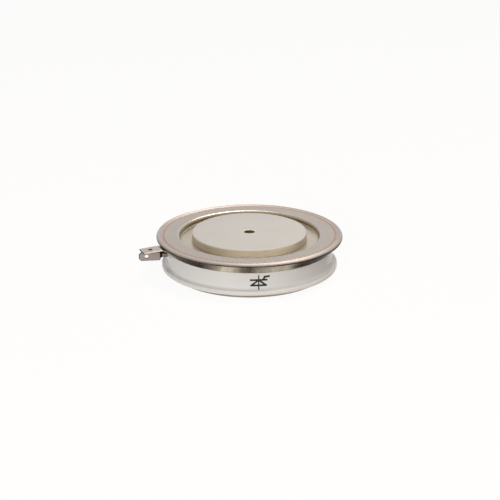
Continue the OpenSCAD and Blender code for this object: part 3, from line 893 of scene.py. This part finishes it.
@dataclass
class Terminals:
    """The pinched gate tube and the two flat tabs."""

    cell: CellSizes
    flanges: SheetFlanges
    tube_wall: float = 0.35
    tube_stub: float = 1.6
    pinch_run: float = 0.6
    tab_bevel: float = 0.15
    gate_corner: float = 0.75
    cathode_corner: float = 0.15
    gate_hole_r: float = 0.65
    gate_hole_back: float = 2.5
    cathode_w: float = 4.8
    cathode_t: float = 0.5
    cathode_reach: float = 6.6
    cathode_hole_r: float = 0.7
    cathode_hole_back: float = 2.9
    tab_angle: float = 14.5
    tab_droop: float = 3.0
    tab_joggle: float = 0.5
    bend_rounding: float = 0.35
    # How far a face leans down, to the free end, or at most from upright, to get the painted shade
    lower_lean: float = 0.2
    end_lean: float = 0.3
    wall_lean: float = 0.5

    def build_tube(self) -> None:
        """Build the tube: hollow in the ceramic's wall, pinched flat outside it."""
        cell, wall = self.cell, self.tube_wall
        tip, start = (-x for x in span("gate_tube", "x"))
        pinch = cell.waist_r + self.tube_stub
        tongue = pinch + self.pinch_run
        tongue_r = (math.pi * (2 * cell.tube_r - wall) / 2 + wall) / 2
        hollow_r = cell.tube_r - wall
        # Distance along the gate line and radius of each ring, from the bottom of the bore to the flat end
        rings = [
            (pinch, hollow_r), (start, hollow_r), (start, cell.tube_r),
            (pinch, cell.tube_r), (tongue, tongue_r), (tip, tongue_r),
        ]
        shape = bmesh.new()
        frame = Matrix.Translation(Vector((-pinch, 0, cell.gate_z)) * MM) @ TO_X
        ring = bmesh.ops.create_circle(
            shape, cap_ends=True, segments=BAR_STEPS, radius=hollow_r * MM, matrix=frame
        )["verts"]
        edges = list({edge for vert in ring for edge in vert.link_edges})
        for (_, radius_before), (along, radius) in zip(rings, rings[1:]):
            made = bmesh.ops.extrude_edge_only(shape, edges=edges)["geom"]
            ring = [item for item in made if isinstance(item, BMVert)]
            edges = [
                item for item in made if isinstance(item, BMEdge) and all(v in ring for v in item.verts)
            ]
            growth = radius / radius_before
            for vert in ring:
                height = vert.co.z - cell.gate_z * MM
                vert.co = (-along * MM, vert.co.y * growth, cell.gate_z * MM + height * growth)
        bmesh.ops.contextual_create(shape, geom=edges)
        for vert in shape.verts:
            if vert.co.x < -(tongue - self.pinch_run / 2) * MM:
                vert.co.y = max(-wall * MM, min(wall * MM, vert.co.y))
        tube = install(as_object("gate_tube_pinched", shape), "gate_tube", STAMPED_TAB)
        # Painted shade on the pinch, where the blade shades the tube
        paint(tube, PAINTED_SHADE_EDGE, lambda face: -tongue * MM < face.center.x < -pinch * MM)

    def stamp(
        self, node: str, shape: BMesh, ends: list[BMEdge], corner: float, turn: Matrix,
        hole: Matrix, hole_r: float,
    ) -> Object:
        """Cut off the corners of a tab's free end, soften all its edges, turn it to its place and pierce it.

        Args:
            node: Name of the solid that the tab replaces.
            shape: The tab.
            ends: The two edges at the free end that run through its thickness.
            corner: How much of each corner goes, in millimetres.
            turn: Turn about the cell's axis.
            hole: Place of the hole, with Z along it.
            hole_r: Radius of the hole in millimetres.

        Returns:
            The tab.
        """
        rounded(shape, ends, corner, 1)
        sharp = [edge for edge in shape.edges if edge.calc_face_angle(0.0) > CRISP]
        rounded(shape, sharp, self.tab_bevel, 2)
        bmesh.ops.transform(shape, matrix=turn, verts=shape.verts[:])
        tab = as_object(node + "_stamped", shape)
        cut(tab, bar(node + "_hole", hole, hole_r, HOLE_CUTTER_MM))
        return install(tab, node, STAMPED_TAB)

    def build_gate_tab(self) -> None:
        """Build the upright tab beside the pinched tube."""
        low, high = (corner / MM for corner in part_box("gate_tab"))
        shape = block(low, high)
        ends = [
            edge for edge in shape.edges
            if all(abs(vert.co.x - low.x * MM) < WELD for vert in edge.verts)
            and abs(edge.verts[0].co.z - edge.verts[1].co.z) < WELD
        ]
        middle = Vector((low.x + self.gate_hole_back, (low.y + high.y) / 2, (low.z + high.z) / 2)) * MM
        hole = Matrix.Translation(middle) @ Matrix.Rotation(math.pi / 2, 4, "X")
        tab = self.stamp("gate_tab", shape, ends, self.gate_corner, Matrix(), hole, self.gate_hole_r)
        # Painted dark reflection on the blade's edges, ends and bevels
        paint(tab, PAINTED_SHADE_EDGE, lambda face: abs(face.normal.y) < FACING)

    def build_cathode_tab(self) -> None:
        """Build the level tab: a lap under the rim, a step up past it, and a blade that slopes down."""
        cell, thick = self.cell, self.cathode_t
        blade_r = cell.rim_r + cell.loose_gap
        length = cell.rim_r + self.cathode_reach - blade_r
        lap_r = self.flanges.lip_r + 2 * cell.loose_gap
        rise_r = self.flanges.bead_mid_r + self.flanges.bead_r / 2
        lap_top = self.flanges.lip_z
        lap_low = lap_top - thick
        slope = math.radians(self.tab_droop)
        along = Vector((math.cos(slope), 0, -math.sin(slope)))
        up = Vector((math.sin(slope), 0, math.cos(slope)))
        heel = Vector((blade_r, 0, lap_low + self.tab_joggle))
        tip = heel + along * length
        outline = [
            Vector((lap_r, 0, lap_low)), Vector((rise_r, 0, lap_low)), heel, tip,
            tip + up * thick, heel + up * thick, Vector((rise_r, 0, lap_top)), Vector((lap_r, 0, lap_top)),
        ]
        shape = bmesh.new()
        side = Vector((0, self.cathode_w / 2, 0))
        verts = [shape.verts.new((point - side) * MM) for point in outline]
        face = shape.faces.new(verts)
        made = bmesh.ops.extrude_face_region(shape, geom=[face])["geom"]
        across = [item for item in made if isinstance(item, BMVert)]
        bmesh.ops.translate(shape, verts=across, vec=2 * side * MM)
        bends = [
            edge for edge in shape.edges
            if abs(edge.verts[0].co.y - edge.verts[1].co.y) > thick * MM
            and lap_r + thick / 2 < edge.verts[0].co.x / MM < blade_r + thick
        ]
        rounded(shape, bends, self.bend_rounding, 4)
        ends = [
            edge for edge in shape.edges
            if all(vert.co.x / MM > tip.x - thick / 2 for vert in edge.verts)
            and abs(edge.verts[0].co.y - edge.verts[1].co.y) < WELD
        ]
        turn = Matrix.Rotation(math.pi + math.radians(self.tab_angle), 4, "Z")
        middle = (tip - along * self.cathode_hole_back + up * thick / 2) * MM
        hole = turn @ Matrix.Translation(middle) @ Matrix.Rotation(slope, 4, "Y")
        tab = self.stamp("cathode_tab", shape, ends, self.cathode_corner, turn, hole, self.cathode_hole_r)
        lead, lift, pierced = (turn.to_3x3() @ vector for vector in (along, up, middle))
        # Painted highlight on the side faces and bevels, partly the die's burnished zone
        paint(tab, BURNISHED_EDGE_PAINTED_HIGHLIGHT, lambda face: abs(face.normal.dot(lift)) < FACING)
        near = 2 * self.cathode_hole_r * MM
        # Painted shade on the downward faces, the free end and the hole's wall
        paint(
            tab, PAINTED_SHADE_EDGE,
            lambda face: -FACING < face.normal.dot(lift) < -self.lower_lean
            or face.normal.dot(lead) > self.end_lean
            or (abs(face.normal.dot(lift)) < self.wall_lean and (face.center - pierced).length < near),
        )

    def build(self) -> None:
        """Build the tube and both tabs."""
        self.build_tube()
        self.build_gate_tab()
        self.build_cathode_tab()


@dataclass(frozen=True)
class Stroke:
    """Straight stroke of the print: both ends as (millimetres to the right, height), and its width."""

    start: tuple[float, float]
    end: tuple[float, float]
    width: float = 0.6


@dataclass
class SymbolPrint:
    """The standard circuit symbol of a thyristor, printed on the ceramic's waist."""

    cell: CellSizes
    ceramic: Object
    azimuth_deg: float = -1.4
    bar_z: float = 7.42
    bar_half: float = 2.55
    base_z: float = 5.65
    base_half: float = 2.4
    line_top: float = 8.8
    line_low: float = 4.6
    line_w: float = 0.42
    gate_foot: tuple[float, float] = (1.49, 7.57)
    gate_knee: tuple[float, float] = (2.0, 8.42)
    gate_end: tuple[float, float] = (3.34, 8.54)
    ink_mm: float = 0.015
    layer_mm: float = 0.002
    pieces_along: int = 14

    def strokes(self) -> list[Stroke]:
        """Draw the symbol: line, bar, triangle and the gate's bent line.

        Returns:
            The strokes.
        """
        apex, left, right = (0.0, self.bar_z), (-self.base_half, self.base_z), (self.base_half, self.base_z)
        return [
            Stroke((0.0, self.line_low), (0.0, self.line_top), self.line_w),
            Stroke((-self.bar_half, self.bar_z), (self.bar_half, self.bar_z)),
            Stroke(apex, left),
            Stroke(apex, right),
            Stroke(left, right),
            Stroke(self.gate_foot, self.gate_knee),
            Stroke(self.gate_knee, self.gate_end),
        ]

    def build(self) -> None:
        """Lay the strokes on the ceramic and give them the ink's thickness."""
        source = bmesh.new()
        source.from_mesh(self.ceramic.data)
        surface = BVHTree.FromBMesh(source)
        source.free()
        shape = bmesh.new()
        for layer, stroke in enumerate(self.strokes()):
            start, end = Vector(stroke.start), Vector(stroke.end)
            run = end - start
            place = Matrix.Translation(((start + end) / 2).to_3d())
            place = place @ Matrix.Rotation(math.atan2(run.y, run.x), 4, "Z")
            place = place @ Matrix.Diagonal(((run.length + stroke.width) / 2, stroke.width / 2, 1, 1))
            made = bmesh.ops.create_grid(
                shape, x_segments=self.pieces_along, y_segments=2, size=1.0, matrix=place
            )["verts"]
            for vert in made:
                vert.co = self.on_ceramic(surface, vert.co.x, vert.co.y, self.layer_mm * (layer + 1))
        bmesh.ops.recalc_face_normals(shape, faces=shape.faces[:])
        bmesh.ops.solidify(shape, geom=shape.faces[:], thickness=self.ink_mm * MM)
        print_piece = as_object("symbol_print", shape)
        print_piece.data.materials.append(PRINT_INK.material())
        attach(print_piece, BODY)
        LOG.info("symbol_print: %d faces", len(print_piece.data.polygons))

    def on_ceramic(self, surface: BVHTree, right: float, z: float, lift: float) -> Vector:
        """Place on the ceramic's outside.

        Args:
            surface: The ceramic.
            right: Millimetres to the right of the symbol's middle, measured round the foot.
            z: Height in millimetres.
            lift: Distance from the glaze in millimetres.

        Returns:
            The place in metres.
        """
        angle = math.radians(self.azimuth_deg) + right / self.cell.foot_r
        out = Vector((math.sin(angle), -math.cos(angle), 0.0))
        hit = surface.ray_cast(out * self.cell.rim_r * 2 * MM + Vector((0, 0, z * MM)), -out)[0]
        return hit + out * lift * MM


@dataclass
class InnerStack:
    """The pieces sealed inside the cell, which keep their solids."""

    frame: dict[str, Any]

    def build(self) -> None:
        """Give each sealed piece its real material, by the record's slots."""
        for row in self.frame["record"]["subparts"]:
            finish = INNER_FINISHES.get(row["material_slot"])
            if finish is None:
                continue
            solid = self.frame["nodes"][row["node"]]
            solid.data.materials.clear()
            solid.data.materials.append(finish.material())
            LOG.info("%s is %s", row["node"], finish.name)


@dataclass(frozen=True)
class Softbox:
    """Square studio lamp: direction from the cell in degrees, distance and size in metres, and its power."""

    name: str
    azimuth_deg: float
    elevation_deg: float
    distance: float
    size: float
    watts: float
    colour: str = "#ffffff"
    lights_matt: bool = True
    shows_in_metal: bool = True


def direction(azimuth_deg: float, elevation_deg: float) -> Vector:
    """Point from the cell outwards.

    Args:
        azimuth_deg: Turn about the axis, 0 on the -Y side and 90 on the +X side.
        elevation_deg: Angle above the floor.

    Returns:
        The unit vector.
    """
    azimuth, elevation = math.radians(azimuth_deg), math.radians(elevation_deg)
    flat = math.cos(elevation)
    return Vector((math.sin(azimuth) * flat, -math.cos(azimuth) * flat, math.sin(elevation)))


@dataclass
class Studio:
    """White floor, soft lamps, white surroundings and the camera."""

    floor_size: float = 6.0
    floor_colour: str = "#d2cbc1"
    floor_glow: float = 0.85
    floor_white: float = 1.1
    sky: float = 0.12
    azimuth_deg: float = -7.5
    elevation_deg: float = 20.04
    distance_mm: float = 485.0
    frame_px: float = 500.0
    px_per_mm: float = 3.085
    axis_px: float = 249.47
    aim_z: float = 7.53
    sensor_mm: float = 36.0
    clip_start: float = 0.01
    lamps: tuple[Softbox, ...] = (
        Softbox("key_lamp", -23.0, 11.0, 0.85, 0.5, 4.35, shows_in_metal=False),
        Softbox("top_lamp", 0.0, 60.0, 0.9, 0.6, 1.1, "#ffe6cf", shows_in_metal=False),
        Softbox("side_lamp", 56.0, 69.0, 0.9, 0.25, 2.4, "#fff0e2", shows_in_metal=False),
        Softbox("rim_lamp", 153.0, 58.0, 0.8, 0.38, 3.0, lights_matt=False),
    )
    card_radius: float = 0.95
    card_low: float = 0.02
    card_high: float = 0.13
    card_from_deg: float = -75.0
    card_to_deg: float = 60.0
    card_steps: int = 24
    card_colour: str = "#2b2722"

    def build_camera(self) -> None:
        """Set the camera at the photograph's viewing angle."""
        data = bpy.data.cameras.new("camera")
        data.sensor_width = self.sensor_mm
        data.lens = self.sensor_mm * self.px_per_mm * self.distance_mm / self.frame_px
        data.clip_start = self.clip_start
        camera = add_object("camera", data)
        back = direction(self.azimuth_deg, self.elevation_deg)
        right = direction(self.azimuth_deg + 90, 0.0)
        aim = (right * (self.frame_px / 2 - self.axis_px) / self.px_per_mm + Vector((0, 0, self.aim_z))) * MM
        camera.location = aim + back * self.distance_mm * MM
        camera.rotation_euler = back.to_track_quat("Z", "Y").to_euler()
        bpy.context.scene.camera = camera

    def seen_directly(self, tree: NodeTree) -> NodeSocket:
        """Tell apart what the camera, a reflection or a clear piece shows from what only gives light.

        Args:
            tree: Node tree that asks.

        Returns:
            An output that is 1 where it shows.
        """
        path = add_node(tree, "LightPath").outputs
        seen = path["Is Camera Ray"]
        for ray in ("Is Glossy Ray", "Is Transmission Ray"):
            seen = add_node(tree, "Math", {0: seen, 1: path[ray]}, operation="MAXIMUM").outputs[0]
        return seen

    def build_floor(self) -> None:
        """Lay the white floor, which keeps the cell's shadow."""
        shape = bmesh.new()
        bmesh.ops.create_grid(shape, x_segments=1, y_segments=1, size=self.floor_size / 2)
        floor = as_object("studio_floor", shape)
        material, tree = new_material("white_paper_floor")
        paper = add_node(tree, "BsdfDiffuse", {"Color": linear(self.floor_colour)})
        glow = add_node(tree, "Emission", {"Color": (1, 1, 1, 1), "Strength": self.floor_white})
        seen = self.seen_directly(tree)
        share = add_node(tree, "Math", {0: seen, 1: self.floor_glow}, operation="MULTIPLY")
        mixed = add_node(tree, "MixShader", {0: share, 1: paper, 2: glow})
        add_node(tree, "OutputMaterial", {"Surface": mixed})
        floor.data.materials.append(material)

    def build_card(self) -> None:
        """Stand a curved dark card behind the camera, which only the metal and the light meet."""
        shape = bmesh.new()
        start = direction(self.card_from_deg, 0.0) * self.card_radius
        ends = [shape.verts.new((start.x, start.y, z)) for z in (self.card_low, self.card_high)]
        edge = shape.edges.new(ends)
        bmesh.ops.spin(
            shape, geom=[*ends, edge], cent=(0, 0, 0), axis=(0, 0, 1), steps=self.card_steps,
            angle=math.radians(self.card_to_deg - self.card_from_deg),
        )
        card = as_object("studio_card", shape)
        material, tree = new_material("dark_studio_card")
        cloth = add_node(tree, "BsdfDiffuse", {"Color": linear(self.card_colour)})
        add_node(tree, "OutputMaterial", {"Surface": cloth})
        card.data.materials.append(material)
        card.visible_camera = False
        card.visible_diffuse = False
        card.visible_shadow = False

    def build_world(self) -> None:
        """White surroundings in view and in reflections, and a softer white light from them."""
        world = bpy.data.worlds.new("white_studio")
        world.use_nodes = True
        tree = world.node_tree
        tree.nodes.clear()
        strength = add_node(tree, "MapRange", {"Value": self.seen_directly(tree), "To Min": self.sky})
        white = add_node(tree, "Background", {"Color": (1, 1, 1, 1), "Strength": strength})
        add_node(tree, "OutputWorld", {"Surface": white})
        bpy.context.scene.world = world

    def build_lamps(self) -> None:
        """Hang the softboxes, all turned to the cell."""
        for lamp in self.lamps:
            data = bpy.data.lights.new(lamp.name, "AREA")
            data.size = lamp.size
            data.energy = lamp.watts
            data.color = linear(lamp.colour)[:3]
            light = add_object(lamp.name, data)
            light.visible_diffuse = lamp.lights_matt
            light.visible_glossy = lamp.shows_in_metal
            towards = direction(lamp.azimuth_deg, lamp.elevation_deg)
            light.location = towards * lamp.distance
            light.rotation_euler = towards.to_track_quat("Z", "Y").to_euler()

    def build(self) -> None:
        """Set up the whole studio."""
        bpy.context.scene.view_settings.view_transform = "Standard"
        self.build_camera()
        self.build_floor()
        self.build_card()
        self.build_world()
        self.build_lamps()


def main() -> None:
    """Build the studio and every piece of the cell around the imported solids."""
    logging.basicConfig(level=logging.INFO, format="%(message)s")
    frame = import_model()
    cell = CellSizes()
    Studio().build()
    poles = ContactPoles(cell)
    poles.build()
    flanges = SheetFlanges(cell, poles.pole_r)
    flanges.build()
    ceramic = CeramicRing(cell).build()
    Terminals(cell, flanges).build()
    SymbolPrint(cell, ceramic).build()
    InnerStack(frame).build()


if __name__ == "__main__":
    main()
